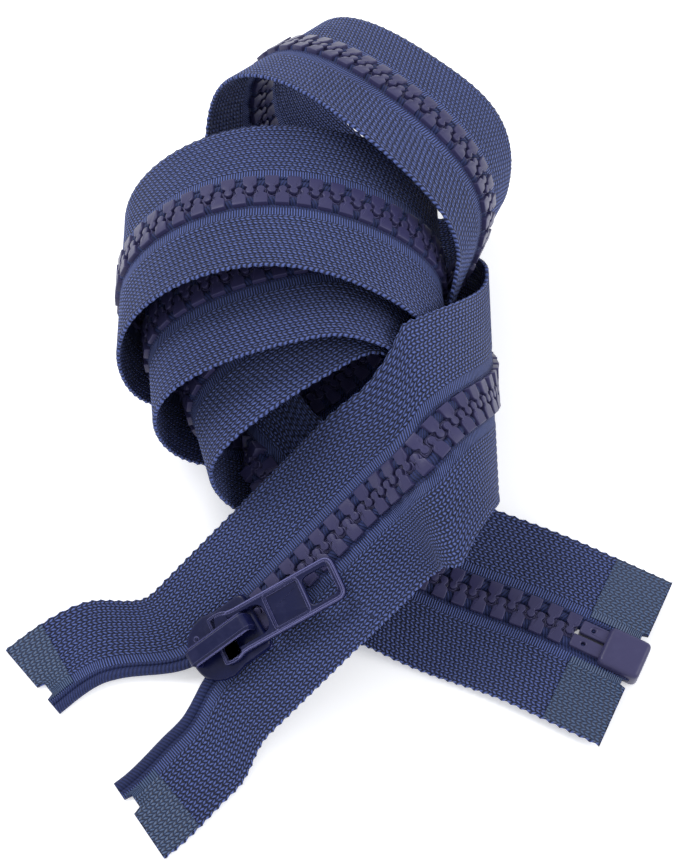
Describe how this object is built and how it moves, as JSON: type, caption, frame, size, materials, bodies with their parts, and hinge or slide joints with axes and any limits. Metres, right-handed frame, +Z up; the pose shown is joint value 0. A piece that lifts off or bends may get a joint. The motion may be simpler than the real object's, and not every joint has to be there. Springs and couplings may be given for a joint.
{
  "type": "separating zipper",
  "caption": "Closed separating zipper with moulded plastic teeth, wound into a fanned coil, with an auto-lock slider and puller at one end and the retainer box at the other.",
  "frame": {"origin": "under the middle of the whole wound zipper, on the table it lies on", "axes": "+Z up from the table; +Y away from the slider end, across the loops of the coil; +X towards the retainer box end"},
  "size_m": [0.113, 0.1504, 0.0488],
  "materials": {
    "tape": "woven, matt, royal navy",
    "tooth": "moulded, satin, purple-grey navy",
    "resin": "moulded, satin, navy",
    "film": "heat-set reinforcement film over the weave",
    "enamel": "glossy navy enamel on cast zinc",
    "spring": "spring steel"
  },
  "bodies": {
    "coil": {"left_tape": "tape", "right_tape": "tape", "left_tooth_row": "tooth", "right_tooth_row": "tooth", "retainer_box": "resin", "retainer_pin": "resin", "insertion_pin": "resin", "left_bottom_film": "film", "right_bottom_film": "film"},
    "right_flap": {"right_tape_top": "tape", "right_top_film": "film", "right_top_stop": "resin", "right_tooth_01": "tooth", "right_tooth_02": "tooth", "right_tooth_03": "tooth", "right_tooth_04": "tooth", "right_tooth_05": "tooth", "right_tooth_06": "tooth"},
    "left_flap": {"left_tape_top": "tape", "left_top_film": "film", "left_top_stop": "resin", "left_tooth_01": "tooth", "left_tooth_02": "tooth", "left_tooth_03": "tooth", "left_tooth_04": "tooth", "left_tooth_05": "tooth", "left_tooth_06": "tooth", "left_tooth_07": "tooth"},
    "slider": {"slider_body": "enamel", "slider_crown": "enamel", "lock_spring": "spring"},
    "puller": {"puller": "enamel"},
    "lock_pin": {"lock_pin": "spring"}
  },
  "joints": [
    {"name": "slider_travel", "type": "slide", "parent": "coil", "child": "slider", "axis": [0.6982, 0.5551, 0.4521], "range_m": [0, 0.013]},
    {"name": "puller_swing", "type": "hinge", "parent": "slider", "child": "puller", "pos_m": [-0.0196, -0.04185, 0.0091], "axis": [0.4132, -0.9026, -0.1208], "range_deg": [0, 150]},
    {"name": "lock_pin_lift", "type": "slide", "parent": "slider", "child": "lock_pin", "axis": [-0.3539, -0.2814, 0.892], "range_m": [0, 0.0008]},
    {"name": "right_stringer_peel", "type": "hinge", "parent": "coil", "child": "right_flap", "pos_m": [-0.0055, -0.0268, 0.01529], "axis": [0.3539, 0.2814, -0.892], "range_deg": [0, 9.7], "deforming": ["right_tape_top", "right_top_film", "right_top_stop", "right_tooth_01", "right_tooth_02", "right_tooth_03", "right_tooth_04", "right_tooth_05", "right_tooth_06"]},
    {"name": "left_stringer_peel", "type": "hinge", "parent": "coil", "child": "left_flap", "pos_m": [-0.00176, -0.03149, 0.01529], "axis": [-0.3539, -0.2814, 0.892], "range_deg": [0, 9.7], "deforming": ["left_tape_top", "left_top_film", "left_top_stop", "left_tooth_01", "left_tooth_02", "left_tooth_03", "left_tooth_04", "left_tooth_05", "left_tooth_06", "left_tooth_07"]}
  ],
  "couplings": [
    {"joint": "lock_pin_lift", "follows": "puller_swing", "m_per_rad": 0.0003},
    {"joint": "right_stringer_peel", "follows": "slider_travel", "rad_per_m": 12.996},
    {"joint": "left_stringer_peel", "follows": "slider_travel", "rad_per_m": 12.996}
  ]
}
